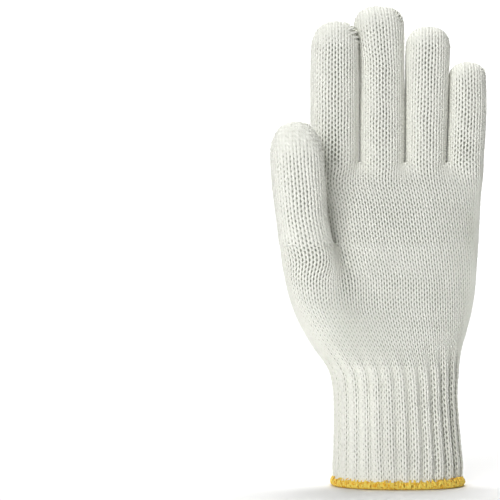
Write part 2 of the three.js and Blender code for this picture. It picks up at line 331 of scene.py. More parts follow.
@dataclass
class Skin:
    """A tube's surface as a grid of points: rows up the tube, and columns once round it.

    Args:
        points: The grid, in rows, columns and coordinates.
        row_step: The length of fabric from one row to the next.
        ends: The length of fabric up each column to where a closed tip's two faces meet.
    """

    points: Array
    row_step: float
    ends: Array
    normals: Array = field(init=False)
    rims: Array = field(init=False)

    def __post_init__(self) -> None:
        """Works out the normals and the length round each row."""
        after = np.roll(self.points, -1, axis=1)
        normals = np.cross(after - np.roll(self.points, 1, axis=1), np.gradient(self.points, axis=0))
        size = np.linalg.norm(normals, axis=-1, keepdims=True)
        self.normals = normals / np.maximum(size, 1e-9)
        for row in range(1, len(size)):
            flat = size[row, :, 0] < 0.03
            self.normals[row, flat] = self.normals[row - 1, flat]
        self.rims = np.linalg.norm(after - self.points, axis=-1).sum(axis=1)

    def inset(self, by: float) -> "Skin":
        """A skin that lies inside this one by some distance."""
        return Skin(self.points - self.normals * by, self.row_step, self.ends)

    @property
    def length(self) -> float:
        """The length of fabric up the tube."""
        return (len(self.points) - 1) * self.row_step

    def rim(self, up: Array) -> Array:
        """The length round the tube at lengths of fabric from its foot."""
        return np.interp(up, np.arange(len(self.rims)) * self.row_step, self.rims)

    def end(self, around: Array) -> Array:
        """The length of fabric up to a closed tip's end, at shares of the way round."""
        return np.interp(np.mod(around, 1.0), SHARES, self.ends, period=1.0)

    def read(self, grid: Array, around: Array, up: Array) -> Array:
        """Reads a grid between its points, and a little way past its first and last rows.

        Args:
            grid: The grid, of points or normals.
            around: Shares of the way round.
            up: The length of fabric from the foot.

        Returns:
            A value for each place.
        """
        rows, columns = grid.shape[:2]
        row = np.clip(up / self.row_step, -14, rows + 1)
        low = np.clip(np.floor(row).astype(int), 0, rows - 2)
        part = (row - low)[..., None]
        column = np.mod(around, 1.0) * columns
        left = np.floor(column).astype(int) % columns
        right = (left + 1) % columns
        share = (column - np.floor(column))[..., None]
        lower = grid[low, left] * (1 - share) + grid[low, right] * share
        upper = grid[low + 1, left] * (1 - share) + grid[low + 1, right] * share
        return lower * (1 - part) + upper * part

    def place(self, around: Array, up: Array, out: Array) -> tuple[Array, Array]:
        """Points that stand out from places on the surface, and the normals there."""
        normal = unit(self.read(self.normals, around, up))
        return self.read(self.points, around, up) + normal * out[..., None], normal


# Yarn


@dataclass
class YarnMesh:
    """Strands of yarn, collected as arrays and joined into one mesh.

    Args:
        sides: The number of sides of a strand's section.
    """

    sides: int = 4
    points: list[Array] = field(default_factory=list)
    faces: list[Array] = field(default_factory=list)
    along: list[Array] = field(default_factory=list)
    cells: list[Array] = field(default_factory=list)
    count: int = 0
    rows: int = 0

    def add(
        self, centre: Array, normal: Array, wide: Array, deep: Array, keep: Array, closed: bool
    ) -> None:
        """Adds strands.

        Args:
            centre: The middle lines, in strands, points and coordinates.
            normal: The way out of the fabric at each point.
            wide: Half the yarn's width along the fabric at each point.
            deep: Half its depth through the fabric at each point.
            keep: Which stretches from a point to the next are made.
            closed: Whether each strand runs on from its last point to its first.
        """
        strands, count = centre.shape[:2]
        if closed:
            tangent = np.roll(centre, -1, axis=1) - np.roll(centre, 1, axis=1)
        else:
            tangent = np.gradient(centre, axis=1)
        tangent = unit(tangent)
        side = unit(np.cross(normal, tangent))
        over = np.cross(tangent, side)
        angle = 2 * math.pi * (np.arange(self.sides) + 0.5) / self.sides
        ring = centre[:, :, None, :] + (
            side[:, :, None, :] * (wide[..., None] * np.cos(angle))[..., None]
            + over[:, :, None, :] * (deep[..., None] * np.sin(angle))[..., None]
        )
        places = np.arange(strands * count * self.sides).reshape(strands, count, self.sides)
        index = self.count + places
        after = np.roll(index, -1, axis=1)
        keep = keep.copy()
        if not closed:
            keep[:, -1] = False
        across = np.roll(index, -1, axis=2)
        quads = np.stack([index, across, np.roll(across, -1, axis=1), after], axis=-1)
        self.points.append(ring.reshape(-1, 3))
        self.faces.append(quads[keep].reshape(-1, 4))
        self._map(centre, keep)
        self._cap(index, after, keep)
        self.count += index.size
        self.rows += strands

    def _map(self, centre: Array, keep: Array) -> None:
        """Maps each kept face: along the yarn and round it, and to a cell of its own.

        Args:
            centre: The middle lines.
            keep: Which stretches are made.
        """
        strands, count = keep.shape
        step = np.linalg.norm(np.roll(centre, -1, axis=1) - centre, axis=-1)
        start = np.cumsum(step, axis=1) - step
        shape = (strands, count, self.sides)
        side = np.broadcast_to(np.arange(self.sides) / self.sides, shape)
        low = np.broadcast_to(start[..., None], shape)
        high = low + step[..., None]
        wide = 1 / self.sides
        along = np.stack([low, side, low, side + wide, high, side + wide, high, side], axis=-1)
        self.along.append(along[keep].reshape(-1, 4, 2))
        left = np.broadcast_to((np.arange(count) / count)[None, :, None], shape)
        right = left + 1 / count
        row = self.rows + np.arange(strands)[:, None, None] + 0.95 * side + 0.02
        top = row + 0.9 * wide
        cells = np.stack([left, row, left, top, right, top, right, row], axis=-1)
        self.cells.append(cells[keep].reshape(-1, 4, 2))

    def _cap(self, index: Array, after: Array, keep: Array) -> None:
        """Closes each end of a stretch.

        Args:
            index: The ring of points at each place.
            after: The ring at the place after it.
            keep: Which stretches are made.
        """
        starts = index[keep & ~np.roll(keep, 1, axis=1)][:, ::-1]
        ends = after[keep & ~np.roll(keep, -1, axis=1)]
        caps = np.concatenate([starts, ends])
        for corner in range(1, self.sides - 2, 2):
            self.faces.append(caps[:, [0, corner, corner + 1, corner + 2]])
            self.along.append(np.zeros((len(caps), 4, 2)))
            self.cells.append(np.full((len(caps), 4, 2), float(self.rows)))

    def build(self, name: str) -> bpy.types.Object:
        """Makes the mesh.

        Args:
            name: The piece's name.

        Returns:
            The object, with one map along the yarn and one with a cell for each face.
        """
        cells = np.concatenate(self.cells) / (1, self.rows)
        along = np.concatenate(self.along)
        used, corner = np.unique(np.concatenate(self.faces), return_inverse=True)
        points = np.concatenate(self.points)[used] * MM
        mesh = bpy.data.meshes.new(name)
        mesh.vertices.add(len(points))
        mesh.vertices.foreach_set("co", points.astype(np.float32).ravel())
        mesh.loops.add(corner.size)
        mesh.loops.foreach_set("vertex_index", corner.astype(np.int32).ravel())
        mesh.polygons.add(corner.size // 4)
        mesh.polygons.foreach_set("loop_start", np.arange(0, corner.size, 4, dtype=np.int32))
        mesh.polygons.foreach_set("use_smooth", np.ones(corner.size // 4, dtype=bool))
        mesh.update(calc_edges=True)
        for label, values in (("OFBake", cells), ("yarn", along)):
            layer = mesh.uv_layers.new(name=label)
            layer.uv.foreach_set("vector", values.astype(np.float32).ravel())
        mesh.validate()
        made = bpy.data.objects.new(name, mesh)
        bpy.context.scene.collection.objects.link(made)
        return made


@dataclass(frozen=True)
class Wander:
    """The slow drift of fabric, as long waves that cross.

    Args:
        seed: The seed of the waves.
        most: The drift's usual size.
    """

    seed: int
    most: float

    def at(self, around: Array, up: Array) -> Array:
        """The drift at places on a tube.

        Args:
            around: Shares of the way round.
            up: The length of fabric from the foot.

        Returns:
            The drift.
        """
        random = np.random.default_rng(self.seed)
        waves = []
        for turns in (1, 2, 3, 5, 8):
            pitch = random.uniform(9, 40)
            phase = random.uniform(0, 2 * math.pi)
            waves.append(np.sin(2 * math.pi * (turns * around + up / pitch) + phase))
        return self.most * sum(waves) / math.sqrt(len(waves))


# Knitting


@dataclass(frozen=True)
class Pull:
    """A place where the fabric is stretched, so its yarn is thinner and its holes are larger.

    Args:
        x: Its middle across the hand.
        z: Its middle's height.
        wide: Half its width.
        tall: Half its height.
        thins: How much thinner the yarn is at its middle.
    """

    x: float
    z: float
    wide: float
    tall: float
    thins: float

    def at(self, points: Array) -> Array:
        """How much thinner the yarn is at some points."""
        away = ((points[..., [0, 2]] - (self.x, self.z)) / (self.wide, self.tall)) ** 2
        return self.thins * np.exp(-away.sum(axis=-1))


@dataclass(frozen=True)
class Gauge:
    """How a stretch of jersey is knitted.

    Args:
        course: The height from one course to the next.
        height: Half a loop's height, as a share of a course.
        bulge: How far a loop's head and feet bulge, as a share of a wale.
        depth: How far the legs come forward and the head and feet go back.
        half_width: Half the yarn's width along the fabric, as a share of a wale.
        half_depth: Half its depth through the fabric.
        stretch: How much thinner the yarn is in the middle of the front and back.
        patchy: How much its thickness drifts.
        inset: How far the fabric's middle lies inside the solid's surface.
        backing: How far the plating yarn lies behind the fabric's middle.
        points: The number of points along a loop.
    """

    course: float = 2.38
    height: float = 0.77
    bulge: float = 0.20
    depth: float = 0.25
    half_width: float = 0.25
    half_depth: float = 0.44
    stretch: float = 0.04
    patchy: float = 0.02
    inset: float = 0.3
    backing: float = 1.05
    points: int = 10


@dataclass
class Wales:
    """Where a tube's wales run.

    Args:
        skin: The tube's surface.
        count: The number of wales.
        top: The shares of the way round of the lines between wales, at the top.
        settle: The length of fabric over which they even out below the top.
        lean: Heights, and how far across the wales run there for each down.
        base: How far all the lines are from their even places.
        uneven: How far each line is from its own, beyond that.
        drift: How far the leaning takes the lines, in shares of the way round, for each row.
    """

    skin: Skin
    count: int
    top: Array | None = None
    settle: float = 14.0
    lean: tuple[tuple[float, float], ...] = ()
    base: float = field(init=False, default=0.0)
    uneven: Array = field(init=False)
    drift: Array = field(init=False)

    def __post_init__(self) -> None:
        """Works out how far each line is from its even place, and how far all of them drift."""
        self.uneven = np.zeros(self.count)
        if self.top is not None:
            away = self.top - np.arange(self.count) / self.count
            self.base = float(away.mean())
            self.uneven = smooth_round(away - self.base, 1.0)
        rows = len(self.skin.points)
        self.drift = np.zeros(rows)
        if self.lean:
            heights, leans = zip(*self.lean)
            slope = np.interp(self.skin.points[:, 0, 2], heights, leans) / self.skin.rims
            total = np.cumsum(slope) * self.skin.row_step
            self.drift = total[-1] - total

    def at(self, wale: Array, up: Array) -> Array:
        """The share of the way round.

        Args:
            wale: The number of wales from the first one.
            up: The length of fabric from the foot.

        Returns:
            The share.
        """
        part = np.clip((self.skin.length - up) / self.settle, 0, 1)
        held = 1 - ease(part)
        line = np.mod(wale, self.count)
        uneven = np.interp(line, np.arange(self.count), self.uneven, period=self.count)
        drift = np.interp(up, np.arange(len(self.drift)) * self.skin.row_step, self.drift)
        return self.base + wale / self.count + uneven * held + drift

    def feet(self) -> Array:
        """The places of the lines between the wales, at the tube's foot."""
        lines = np.arange(self.count, dtype=float)
        foot = np.zeros(self.count)
        return self.skin.read(self.skin.points, self.at(lines, foot), foot)


def run_on(skin: Skin, tubes: list[Wales], count: int) -> tuple[Array, list[Array]]:
    """Finds the wales of the tubes above that run on into a tube. The rest end in the crotches.

    Args:
        skin: The lower tube's surface.
        tubes: The wales of the tubes above.
        count: The number of wales that run on.

    Returns:
        The share of the way round of each line at the lower tube's top, and for each tube above
        whether each of its wales ends in a crotch.
    """
    feet = np.concatenate([tube.feet() for tube in tubes])
    shares = np.linspace(0, 1, 2400, endpoint=False)
    rim = skin.read(skin.points, shares, np.full(len(shares), skin.length))
    away = np.linalg.norm(feet[:, None, :2] - rim[None, :, :2], axis=-1)
    nearest = away.min(axis=1)
    runs = np.argsort(nearest, kind="stable")[:count]
    ends = np.ones(len(feet), dtype=bool)
    ends[runs] = False
    top = np.sort(shares[away.argmin(axis=1)[runs]])
    return top, np.split(ends, np.cumsum([tube.count for tube in tubes])[:-1])


@dataclass(frozen=True)
class Ribs:
    """Ribs of two raised wales and a sunken one, that run up a tube.

    Args:
        count: The number of wales round the tube.
        wales: The number of wales in a rib.
        height: From the bottom of a groove to the top of a rib.
        gather: How far the raised wales spread over the sunken one, in wales.
        full: The length of fabric up to which they are full.
        gone: The length of fabric from which there are none.
    """

    PRESSED, FREE = 0.7, 6.0  # how much flatter they are at the hem, and how far up that goes
    FLATTER = 0.55  # how much flatter they are on the thumb's side
    LIFT = 0.3  # how far the whole fabric stands out with them, as a share of half their height

    count: int
    wales: int = 3
    height: float = 2.0
    gather: float = 0.14
    full: float = 50.0
    gone: float = 74.0

    def strength(self, up: Array) -> Array:
        """How full the ribs are at lengths of fabric from the tube's foot, from 0 to 1."""
        part = np.clip((self.gone - up) / (self.gone - self.full), 0, 1)
        return ease(part) * (1 - self.PRESSED * np.exp(-((up / self.FREE) ** 2)))

    def shift(self, wale: Array, up: Array) -> Array:
        """How far the fabric is drawn sideways, in wales."""
        return self.gather * self.strength(up) * np.sin(2 * math.pi * (wale - 1) / self.wales)

    def wave(self, wale: Array, up: Array) -> Array:
        """Where a place lies in its rib, from a groove's -1 to a rib's 1."""
        flatter = 1 - self.FLATTER * np.clip(-np.cos(2 * math.pi * wale / self.count), 0, 1)
        return flatter * self.strength(up) * np.cos(2 * math.pi * (wale - 1) / self.wales)

    def at(self, wale: Array, up: Array) -> Array:
        """How far the fabric stands out, from a groove's negative to a rib's positive."""
        return 0.5 * self.height * (self.wave(wale, up) + self.LIFT * self.strength(up))


@dataclass
class Knitting:
    """A stretch of a tube's stitches.

    Args:
        wales: Where the tube's wales run.
        gauge: How it is knitted.
        seed: The seed of its small irregularities.
        low: The length of fabric from the tube's foot at which the stretch starts.
        high: The length of fabric at which it ends.
        ribs: Its ribs.
        roots: Which wales go on for a few courses below the foot, inside the tube below.
        tight: The length of fabric round which the stitches are tighter.
        pulls: The places where it is stretched.
    """

    ROOT_COURSES = 3  # how many courses a root goes on for
    RIB_YARN = 0.28  # how much fuller the yarn is on a rib, and thinner in a groove
    SIDEWAYS, UPWARDS = 0.03, 0.04  # how far the stitches drift, in wales and up the tube
    LOOSE_RISE, LOOSE_YARN = 0.05, 0.04  # how far a loose loop rises, and how much fuller it is
    TUCK = 0.8  # how far the last course of a closed tip is tucked in
    TIGHT_YARN, TIGHT_REACH = 0.12, 4.0  # how much fuller the yarn is where it is tight, and how far
    SINK = 7.0  # how far a pull sets the plating yarn back, for a thinning of 1
    PLATING_WIDTH, PLATING_DEPTH = 0.74, 0.2  # half the plating yarn's, in courses and across them

    wales: Wales
    gauge: Gauge
    seed: int
    low: float
    high: float
    ribs: Ribs | None = None
    roots: Array | None = None
    tight: float | None = None
    pulls: tuple[Pull, ...] = ()

    def knit(self, yarn: YarnMesh) -> None:
        """Lays the courses.

        Args:
            yarn: The mesh that takes the yarn.
        """
        g, skin, count = self.gauge, self.wales.skin, self.wales.count
        courses = max(1, round((self.high - self.low) / g.course))
        course = (self.high - self.low) / courses
        first = 0 if self.roots is None else -self.ROOT_COURSES
        level = self.low + (np.arange(first, courses) + 0.5)[:, None] * course
        t = 2 * math.pi * np.arange(g.points) / g.points
        number = np.arange(count)[:, None]
        wale = (number + t / (2 * math.pi) + g.bulge * np.sin(2 * t)).reshape(1, -1)
        wale = np.broadcast_to(wale, (len(level), count * g.points))
        up = level - np.tile(g.height * course * np.cos(t), count)
        out = np.broadcast_to(np.tile(-g.depth * np.cos(2 * t), count), up.shape)
        random = np.random.default_rng(self.seed)
        loose = np.repeat(random.normal(0, 1, (len(level), count)), g.points, axis=1)
        loose = loose * np.tile(np.sin(t / 2) ** 2, count)
        full = 1.0 if self.ribs is None else 1 + self.RIB_YARN * self.ribs.wave(wale, up)
        wale, out = self._ribbed(wale, up, out)
        around = self.wales.at(wale, up)
        drift = Wander(self.seed + 1, self.SIDEWAYS).at(around, up) / count
        up = up + Wander(self.seed + 2, self.UPWARDS).at(around, up) + self.LOOSE_RISE * loose
        out = out - self.TUCK * np.clip((up - skin.end(around)) / course + 1.2, 0, 1) ** 2
        points, normals = skin.place(around + drift, up, out)
        size = 1 + Wander(self.seed + 3, g.patchy).at(around, up) + self.LOOSE_YARN * loose
        size = size - g.stretch * np.exp(-7 * np.cos(2 * math.pi * around) ** 2)
        if self.tight is not None:
            size = size + self.TIGHT_YARN * np.exp(-(((up - self.tight) / self.TIGHT_REACH) ** 2))
        size = size - sum(pull.at(points) for pull in self.pulls)
        ends = [skin.end(self.wales.at(number[:, 0] + part, level)) for part in (0.0, 0.5, 1.0)]
        kept = (level < np.mean(ends, axis=0) + 0.1 * course) & self._rooted(level)
        keep = np.repeat(kept, g.points, axis=1)
        half_width = g.half_width * skin.rim(up) / count * size * full
        yarn.add(points, normals, half_width, g.half_depth * size, keep, closed=True)
        self.back(yarn, level, course)

    def _ribbed(self, wale: Array, up: Array, out: Array) -> tuple[Array, Array]:
        """The wales and the distances outwards of some places, with what the ribs add to them."""
        ribs = self.ribs
        return (wale + ribs.shift(wale, up), out + ribs.at(wale, up)) if ribs else (wale, out)

    def _rooted(self, level: Array) -> Array:
        """Which wales there are at some levels: below the foot only the roots."""
        return (level > self.low) | (self.roots is None or self.roots[None, :])

    def back(self, yarn: YarnMesh, level: Array, course: float) -> None:
        """Lays the flat plating yarn behind the courses. It closes the holes and shows painted shade in
        them.

        Args:
            yarn: The mesh that takes the yarn.
            level: The height of each course.
            course: The height from one course to the next.
        """
        skin, count = self.wales.skin, self.wales.count
        wale = np.broadcast_to(np.arange(0, count, 1.0), (len(level), count))
        up = np.broadcast_to(level, wale.shape)
        wale, out = self._ribbed(wale, up, np.full(wale.shape, -self.gauge.backing))
        around = self.wales.at(wale, up)
        keep = (up < skin.end(around) - 0.9 * course) & self._rooted(level)
        points, normals = skin.place(around, up, out)
        sunk = sum(pull.at(points) for pull in self.pulls)
        points = points - normals * (self.SINK * np.clip(sunk, 0, None))[..., None]
        wide = np.full(up.shape, self.PLATING_WIDTH * course)
        # The normals are turned round, so the side that faces out of the fabric takes the inner colour:
        # painted shade in the holes
        yarn.add(points, -normals, wide, np.full(up.shape, self.PLATING_DEPTH), keep, closed=True)


# Finishes


class Shader:
    """A socket with arithmetic, in one material's nodes.

    Args:
        tree: The material's node tree.
        socket: The output that holds the value.
    """

    def __init__(self, tree: bpy.types.NodeTree, socket: bpy.types.NodeSocket) -> None:
        """Keeps the socket and its tree."""
        self.tree = tree
        self.socket = socket

    @classmethod
    def node(
        cls,
        tree: bpy.types.NodeTree,
        kind: str,
        settings: dict[str, object] | None = None,
        inputs: dict[str | int, object] | None = None,
        output: str | int = 0,
    ) -> "Shader":
        """Makes a node.

        Args:
            tree: The material's node tree.
            kind: The node's type.
            settings: The node's own settings, with a ramp's stops under "stops".
            inputs: The values or links of its sockets.
            output: The output to give back.

        Returns:
            The output, with arithmetic.
        """
        made = tree.nodes.new(kind)
        for key, value in (settings or {}).items():
            if key == "stops":
                ramp = made.color_ramp
                while len(ramp.elements) > 1:
                    ramp.elements.remove(ramp.elements[-1])
                for i, (position, colour) in enumerate(value):
                    stop = ramp.elements[0] if i == 0 else ramp.elements.new(position)
                    stop.position, stop.color = position, colour
            else:
                setattr(made, key, value)
        for key, value in (inputs or {}).items():
            if isinstance(value, Shader):
                tree.links.new(value.socket, made.inputs[key])
            else:
                made.inputs[key].default_value = value
        return cls(tree, made.outputs[output])

    def _math(self, operation: str, first: object, second: object) -> "Shader":
        """A Math node on two values or sockets."""
        return Shader.node(self.tree, "ShaderNodeMath", {"operation": operation}, {0: first, 1: second})

    def __add__(self, other: object) -> "Shader":
        """This plus another."""
        return self._math("ADD", self, other)

    def __sub__(self, other: object) -> "Shader":
        """This minus another."""
        return self._math("SUBTRACT", self, other)

    def __mul__(self, other: object) -> "Shader":
        """This times another."""
        return self._math("MULTIPLY", self, other)

    def sine(self) -> "Shader":
        """The sine of this."""
        return self._math("SINE", self, 0.0)


def new_material(name: str) -> tuple[bpy.types.Material, bpy.types.Node]:
    """Makes a material.

    Args:
        name: Its name.

    Returns:
        The material and the node of its surface.
    """
    material = bpy.data.materials.new(name)
    material.use_nodes = True
    return material, next(n for n in material.node_tree.nodes if n.type == "BSDF_PRINCIPLED")


@dataclass(frozen=True)
class YarnFinish:
    """Spun yarn: twisted plies with short fibres, colour that varies a little along it, and painted
    shade round it.

    Args:
        name: The material's name.
        light: The colour of the side that faces out of the fabric, the lit end of its painted shade.
        dark: The colour of its sides, painted shade between light and inner.
        inner: The colour of the side that faces into the fabric, painted shade.
        plies: The number of plies.
        twist: The plies' turns in a millimetre.
        sheen: How much its fibres catch the light.
        speckle: How much its colour changes from a millimetre to the next.
    """

    SLOW, FIBRE, SPOT = 90.0, 2600.0, 800.0  # the scales of the noise

    name: str
    light: tuple[float, float, float]
    dark: tuple[float, float, float]
    inner: tuple[float, float, float]
    plies: int = 2
    twist: float = 0.55
    sheen: float = 0.05
    speckle: float = 0.0

    def make(self) -> bpy.types.Material:
        """Makes the material.

        Returns:
            The material.
        """
        material, surface = new_material(self.name)
        tree = material.node_tree
        node = Shader.node
        place = node(tree, "ShaderNodeTexCoord", output="Object")
        along = node(tree, "ShaderNodeUVMap", {"uv_map": "yarn"})

        def noise(scale: float, detail: float = 2.0) -> Shader:
            """Noise of some scale, in the piece's own space."""
            inputs = {"Vector": place, "Scale": scale, "Detail": detail}
            return node(tree, "ShaderNodeTexNoise", inputs=inputs)

        length, around = (node(tree, "ShaderNodeSeparateXYZ", {}, {0: along}, i) for i in range(2))
        fibre = noise(self.FIBRE)
        ply = ((length * self.twist + around * self.plies) * (2 * math.pi)).sine() * 0.5 + 0.5
        # Painted shade: the tone runs from the yarn's side that faces out of the fabric, lightest, to
        # the side that faces into it, darkest
        outwards = (around * (2 * math.pi) + math.pi / 4).sine() * 0.5 + 0.5
        tone = noise(self.SLOW) * 0.25 + fibre * 0.18 + ply * 0.07 + outwards * 0.5
        if self.speckle:
            tone = tone + (noise(self.SPOT, 1.0) - 0.5) * self.speckle
        # inner is the painted shade of the inward side, dark the sides, light the outward side; the
        # noise moves the tone a little at random
        stops = [(0.20, (*self.inner, 1.0)), (0.48, (*self.dark, 1.0)), (0.72, (*self.light, 1.0))]
        colour = node(tree, "ShaderNodeValToRGB", {"stops": stops}, {0: tone})
        relief = {"Strength": 0.5, "Distance": 0.12 * MM, "Height": ply * 0.6 + fibre * 0.8}
        bump = node(tree, "ShaderNodeBump", inputs=relief)
        tree.links.new(colour.socket, surface.inputs["Base Color"])
        tree.links.new((fibre * 0.2 + 0.75).socket, surface.inputs["Roughness"])
        tree.links.new(bump.socket, surface.inputs["Normal"])
        surface.inputs["Sheen Weight"].default_value = self.sheen
        surface.inputs["Sheen Roughness"].default_value = 0.5
        surface.inputs["Specular IOR Level"].default_value = 0.25
        return material


@dataclass(frozen=True)
class FloorFinish:
    """A matte pale studio floor.

    Args:
        name: The material's name.
        colour: The floor's colour.
    """

    name: str = "studio_floor"
    colour: tuple[float, float, float] = (0.97, 0.97, 0.965)

    def make(self) -> bpy.types.Material:
        """Makes the material.

        Returns:
            The material.
        """
        material, surface = new_material(self.name)
        surface.inputs["Base Color"].default_value = (*self.colour, 1.0)
        surface.inputs["Roughness"].default_value = 0.9
        return material


# Parts of the glove


class Slot(Enum):
    """The record's material slots."""

    KNIT = "knit"
    HEM = "hem_yarn"


def seat(piece: bpy.types.Object, material: bpy.types.Material, slot: Slot, *nodes: str) -> None:
    """Gives a piece its finish and its place in the frame.

    Args:
        piece: The piece.
        material: Its finish.
        slot: The record's slot for it. It is not used.
        *nodes: The solids that it stands for.
    """
    piece.data.materials.append(material)
    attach(piece, BODY)
    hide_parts(*nodes)
    LOG.info("%s: %d faces", piece.name, len(piece.data.polygons))


@dataclass
class TipSeam:
    """The yarn that closes a fingertip: strands along its ridge, and slanting stitches over them.

    Args:
        start: The angle up from +X at which the stitches start.
        end: The angle at which they end.
        front: The angle by which a stitch reaches round to the palm's side.
        rise: How far a stitch stands out.
        pitch: The distance from one stitch to the next.
        back: The angle by which a stitch reaches round to the other side.
        slant: How far a stitch runs along the ridge.
        half_width: Half the yarn's width.
        seed: The seed of its irregularities.
    """

    ARM = 6.0  # how far under the ridge the rays towards the tip end
    BACKWARDS = np.array([0.0, 1.0, 0.0])
    OUTLINE, STEPS = (212, -32), 90  # the angles at which the ridge's strands start and end
    # A strand: its lean to the back, its depth under the surface, half its width and half its depth
    RIDGE = (
        (-0.8, 0.9, 1.3, 0.3),
        (-0.4, 0.85, 1.3, 0.3),
        (0.0, 0.1, 0.55, 0.55),
        (0.0, 0.8, 1.3, 0.3),
        (0.4, 0.85, 1.3, 0.3),
        (0.8, 0.9, 1.3, 0.3),
    )

    start: float
    end: float
    front: float = 48.0
    rise: float = 0.45
    pitch: float = 1.45
    back: float = 24.0
    slant: float = 2.4
    half_width: float = 0.55
    seed: int = 80

    def ridge(self, solid: Solid, centre: Array, start: float, end: float) -> tuple[Array, ...]:
        """The tip's outline as it is seen from the palm.

        Args:
            solid: The digit.
            centre: The middle of its shoulder.
            start: The angle up from +X at which it starts.
            end: The angle at which it ends.

        Returns:
            The outline's points, the ways out and the length along it.
        """
        angle = np.radians(np.linspace(start, end, self.STEPS))
        ways = np.stack([np.cos(angle), np.zeros(self.STEPS), np.sin(angle)], axis=-1)
        points = solid.touch(np.broadcast_to(centre, ways.shape), ways)[0]
        run = np.linalg.norm(np.diff(points, axis=0), axis=1)
        return points, ways, np.concatenate([[0.0], np.cumsum(run)])

    def sew(self, yarn: YarnMesh, solid: Solid, centre: Array, inset: float) -> None:
        """Sews the tip.

        Args:
            yarn: The mesh that takes the yarn.
            solid: The digit.
            centre: The middle of its shoulder.
            inset: How far the fabric's middle lies inside the solid's surface.
        """
        points, ways, _ = self.ridge(solid, centre, *self.OUTLINE)
        whole = np.ones((1, self.STEPS), dtype=bool)
        tuck = inset + 1.2 * np.abs(np.linspace(-1, 1, self.STEPS)) ** 12
        for lean, deep, wide, thick in self.RIDGE:
            outwards = ways * math.cos(lean) + self.BACKWARDS * math.sin(lean)
            places, normals = solid.touch(points - ways * self.ARM, outwards)
            places = places - normals * (tuck + deep)[:, None]
            yarn.add(places[None], normals[None], whole * wide, whole * thick, whole, closed=False)

        points, ways, run = self.ridge(solid, centre, self.start, self.end)
        count = max(2, round(run[-1] / self.pitch))
        random = np.random.default_rng(self.seed)
        jump = random.normal(0, 0.14, (3, count, 1))
        part = np.linspace(-1, 1, 11)[None, :]
        along = np.linspace(0, run[-1], count)[:, None] + jump[0] - self.slant * 0.5 * part
        ridge, way = on_line(along, run, points), on_line(along, run, ways)
        turn = np.radians(np.where(part < 0, self.front, self.back) * (1 + jump[1]) * part)[..., None]
        outwards = unit(way * np.cos(turn) + self.BACKWARDS * np.sin(turn))
        places, normals = solid.touch(ridge - way * self.ARM, outwards)
        normals = unit(normals + outwards)
        bulge = np.sin(math.pi * (np.arange(count) + 0.7) / (count + 0.4))[:, None] ** 0.5
        out = (self.rise + 0.5) * bulge * (1 + jump[2]) * (1 - part**6) - inset - 0.5
        width = self.half_width * (1 - 0.3 * part**4) * np.ones(out.shape)
        whole = np.ones(out.shape, dtype=bool)
        yarn.add(places + normals * out[..., None], normals, width, width, whole, closed=False)


@dataclass
class Digit:
    """A finger or the thumb: a tube whose front and back faces meet at the tip.

    Args:
        name: The solid's name, which the piece's name starts with.
        wales: The number of wales round it.
        dome: The height of its rounded tip.
        roundness: The power of the tip's curve, seen from the palm.
        seed: The seed of its small irregularities.
        foot: The height of its foot.
        seam: The stitches that close its tip.
        pulls: The places where it is stretched.
        gauge: How it is knitted.
    """

    ARC, ARC_POWER = 120, 2 / 2.15  # steps over the tip, and the power of its curve
    SPARE = 3.0  # the length of fabric for which the surface goes on past the tip

    name: str
    wales: int
    dome: float
    roundness: float
    seed: int
    foot: float
    seam: TipSeam
    pulls: tuple[Pull, ...]
    gauge: Gauge = Gauge(half_width=0.272, stretch=0.12, patchy=0.03, backing=1.1)
    lines: Wales = field(init=False)

    def __post_init__(self) -> None:
        """Finds where the wales run."""
        self.lines = Wales(self.skin(), self.wales)

    def skin(self) -> Skin:
        """The tube's surface. Over the tip each column runs up one face and down the other."""
        solid = Solid(self.name)
        shoulder = solid.high[2] - self.dome
        heights = rows_between(self.foot, shoulder)
        step = heights[1] - heights[0]
        shaft = survey([solid], heights, 4)
        rim = shaft[-1]
        x, y = (rim[:, :2].max(axis=0) + rim[:, :2].min(axis=0)) / 2
        lean = (shaft[-1].mean(axis=0) - shaft[-8].mean(axis=0)) / (7 * step)
        share = np.clip(np.abs(rim[:, 0] - x) / np.ptp(rim[:, 0]) * 2, 0, 1)
        rise = self.dome * (1 - share**self.roundness) ** (1 / self.roundness)
        turn = np.linspace(0, math.pi, self.ARC + 1)
        round_in = (np.sign(np.cos(turn)) * np.abs(np.cos(turn)) ** self.ARC_POWER)[:, None]
        depth = (rim[:, 1] - y) * round_in
        up = rise * (np.abs(np.sin(turn)) ** self.ARC_POWER)[:, None]
        steps = np.hypot(np.diff(depth, axis=0), np.diff(up, axis=0))
        away = np.concatenate([np.zeros((1, COLUMNS)), np.cumsum(steps, axis=0)])
        ends = away[self.ARC // 2]
        extra = int(math.ceil((ends.max() + self.SPARE) / step))
        cap = np.zeros((extra, COLUMNS, 3))
        for column in range(COLUMNS):
            at = np.minimum(np.arange(1, extra + 1) * step, away[-1, column])
            cap[:, column, 1] = y + np.interp(at, away[:, column], depth[:, column])
            cap[:, column, 2] = np.interp(at, away[:, column], up[:, column])
        cap[..., 0] = rim[:, 0] + lean[0] * cap[..., 2]
        cap[..., 1] += lean[1] * cap[..., 2]
        cap[..., 2] += shoulder
        grid = np.concatenate([shaft, cap])
        return Skin(grid, step, ends + shoulder - self.foot).inset(self.gauge.inset)

    def build(self, material: bpy.types.Material, roots: Array) -> None:
        """Knits the tube.

        Args:
            material: Its finish.
            roots: Which wales end in a crotch.
        """
        yarn = YarnMesh()
        gauge, skin = self.gauge, self.lines.skin
        tube = Knitting(self.lines, gauge, self.seed, 0.0, skin.length, roots=roots, pulls=self.pulls)
        tube.knit(yarn)
        solid = Solid(self.name)
        rim = skin.points[np.searchsorted(skin.points[:, 0, 2], solid.high[2] - self.dome) - 1]
        centre = (rim.max(axis=0) + rim.min(axis=0)) / 2
        self.seam.sew(yarn, solid, centre, gauge.inset)
        seat(yarn.build(self.name + "_knit"), material, Slot.KNIT, self.name)


